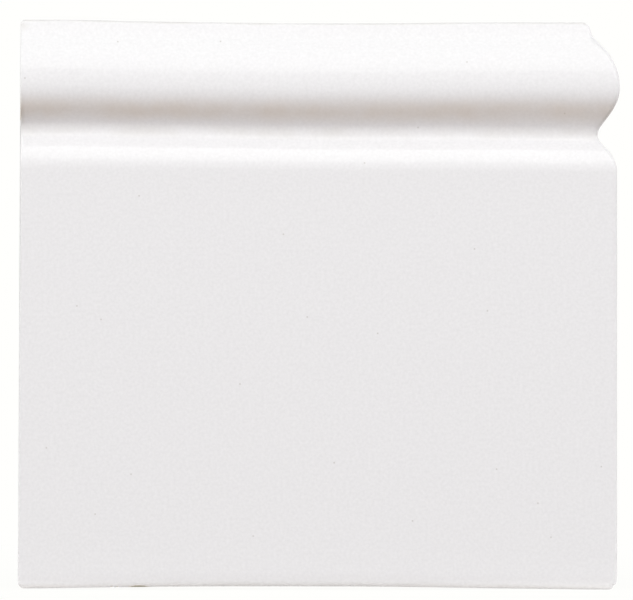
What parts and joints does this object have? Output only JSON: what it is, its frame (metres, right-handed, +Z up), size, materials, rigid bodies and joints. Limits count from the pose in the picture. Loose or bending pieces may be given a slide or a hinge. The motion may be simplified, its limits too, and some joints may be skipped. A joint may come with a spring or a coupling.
{
  "type": "ceramic skirting tile",
  "caption": "White glazed ceramic skirting tile, plain face under a beaded moulding, with one square end and one mitred end for an outside corner; bonded to the foot of a wall.",
  "frame": {"origin": "middle of the front length, on the wall plane, at floor level: the lower edge of the back face", "axes": "+Z up the wall, +Y into the wall, +X along the tile from its square end to its mitred end; the glazed front faces -Y"},
  "size_m": [0.153, 0.0159, 0.145],
  "materials": {
    "white_glaze": "glossy white glaze on a buff earthenware body, bare biscuit on the back and ends"
  },
  "bodies": {
    "root": {"skirting_tile": "white_glaze"}
  },
  "joints": []
}
